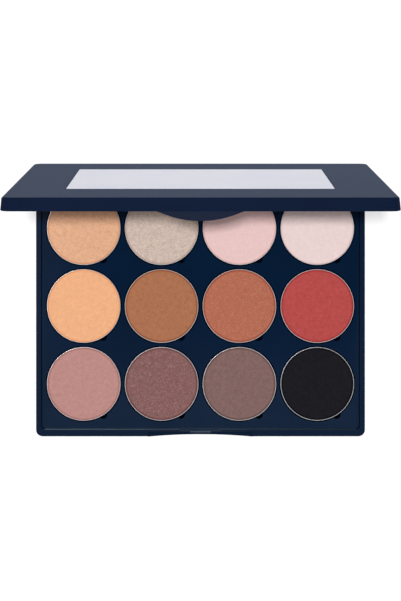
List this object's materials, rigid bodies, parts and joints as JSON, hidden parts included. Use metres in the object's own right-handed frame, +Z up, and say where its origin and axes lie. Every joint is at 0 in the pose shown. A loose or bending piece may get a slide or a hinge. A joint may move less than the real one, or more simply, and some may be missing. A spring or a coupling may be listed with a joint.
{
  "type": "eyeshadow palette",
  "caption": "Flat hinged eyeshadow palette with a mirrored lid and a grid of round lift-out magnetic pans in a well tray.",
  "frame": {"origin": "centre of the base's flat underside", "axes": "+X to the right, +Y towards the hinge, +Z up out of the tray"},
  "size_m": [0.1178, 0.0965, 0.1007],
  "materials": {
    "case_plastic": "satin moulded plastic, navy",
    "tray_plastic": "fine matt moulded plastic, navy",
    "lid_plastic": "satin moulded plastic, navy",
    "plate_metal": "satin silver, blank",
    "mirror_glass": "polished, ground edge",
    "adhesive": "double-sided film",
    "pin_steel": "drawn wire",
    "pan_tinplate": "bright pressed tinplate",
    "magnet_nickel": "nickel plated",
    "label_paper": "blank self-adhesive paper",
    "powder_dusty_rose": "matt pressed powder",
    "powder_mauve": "shimmer pressed powder",
    "powder_taupe": "matt pressed powder",
    "powder_black": "matt pressed powder",
    "powder_peach": "matt pressed powder",
    "powder_brown": "matt pressed powder",
    "powder_copper": "shimmer pressed powder",
    "powder_coral": "matt pressed powder",
    "powder_peach_gold": "satin pressed powder",
    "powder_champagne": "sparkling pressed powder",
    "powder_soft_pink": "matt pressed powder",
    "powder_pale_pink": "matt pressed powder"
  },
  "bodies": {
    "base": {"base_shell": "case_plastic", "well_tray": "tray_plastic", "underside_label": "label_paper", "magnet_dusty_rose": "magnet_nickel", "magnet_mauve": "magnet_nickel", "magnet_taupe": "magnet_nickel", "magnet_black": "magnet_nickel", "magnet_peach": "magnet_nickel", "magnet_brown": "magnet_nickel", "magnet_copper": "magnet_nickel", "magnet_coral": "magnet_nickel", "magnet_peach_gold": "magnet_nickel", "magnet_champagne": "magnet_nickel", "magnet_soft_pink": "magnet_nickel", "magnet_pale_pink": "magnet_nickel"},
    "lid": {"lid_shell": "lid_plastic", "label_plate": "plate_metal", "plate_adhesive": "adhesive", "mirror": "mirror_glass", "mirror_adhesive": "adhesive", "hinge_pin_left": "pin_steel", "hinge_pin_right": "pin_steel"},
    "refill_dusty_rose": {"pan_dusty_rose": "pan_tinplate", "powder_dusty_rose": "powder_dusty_rose"},
    "refill_mauve": {"pan_mauve": "pan_tinplate", "powder_mauve": "powder_mauve"},
    "refill_taupe": {"pan_taupe": "pan_tinplate", "powder_taupe": "powder_taupe"},
    "refill_black": {"pan_black": "pan_tinplate", "powder_black": "powder_black"},
    "refill_peach": {"pan_peach": "pan_tinplate", "powder_peach": "powder_peach"},
    "refill_brown": {"pan_brown": "pan_tinplate", "powder_brown": "powder_brown"},
    "refill_copper": {"pan_copper": "pan_tinplate", "powder_copper": "powder_copper"},
    "refill_coral": {"pan_coral": "pan_tinplate", "powder_coral": "powder_coral"},
    "refill_peach_gold": {"pan_peach_gold": "pan_tinplate", "powder_peach_gold": "powder_peach_gold"},
    "refill_champagne": {"pan_champagne": "pan_tinplate", "powder_champagne": "powder_champagne"},
    "refill_soft_pink": {"pan_soft_pink": "pan_tinplate", "powder_soft_pink": "powder_soft_pink"},
    "refill_pale_pink": {"pan_pale_pink": "pan_tinplate", "powder_pale_pink": "powder_pale_pink"}
  },
  "joints": [
    {"name": "lid_hinge", "type": "hinge", "parent": "base", "child": "lid", "pos_m": [0, 0.04595, 0.009], "axis": [-1, 0, 0], "range_deg": [-78.83, 31.17]},
    {"name": "lift_dusty_rose", "type": "slide", "parent": "base", "child": "refill_dusty_rose", "axis": [0, 0, 1], "range_m": [0, 0.012]},
    {"name": "lift_mauve", "type": "slide", "parent": "base", "child": "refill_mauve", "axis": [0, 0, 1], "range_m": [0, 0.012]},
    {"name": "lift_taupe", "type": "slide", "parent": "base", "child": "refill_taupe", "axis": [0, 0, 1], "range_m": [0, 0.012]},
    {"name": "lift_black", "type": "slide", "parent": "base", "child": "refill_black", "axis": [0, 0, 1], "range_m": [0, 0.012]},
    {"name": "lift_peach", "type": "slide", "parent": "base", "child": "refill_peach", "axis": [0, 0, 1], "range_m": [0, 0.012]},
    {"name": "lift_brown", "type": "slide", "parent": "base", "child": "refill_brown", "axis": [0, 0, 1], "range_m": [0, 0.012]},
    {"name": "lift_copper", "type": "slide", "parent": "base", "child": "refill_copper", "axis": [0, 0, 1], "range_m": [0, 0.012]},
    {"name": "lift_coral", "type": "slide", "parent": "base", "child": "refill_coral", "axis": [0, 0, 1], "range_m": [0, 0.012]},
    {"name": "lift_peach_gold", "type": "slide", "parent": "base", "child": "refill_peach_gold", "axis": [0, 0, 1], "range_m": [0, 0.012]},
    {"name": "lift_champagne", "type": "slide", "parent": "base", "child": "refill_champagne", "axis": [0, 0, 1], "range_m": [0, 0.012]},
    {"name": "lift_soft_pink", "type": "slide", "parent": "base", "child": "refill_soft_pink", "axis": [0, 0, 1], "range_m": [0, 0.012]},
    {"name": "lift_pale_pink", "type": "slide", "parent": "base", "child": "refill_pale_pink", "axis": [0, 0, 1], "range_m": [0, 0.012]}
  ]
}
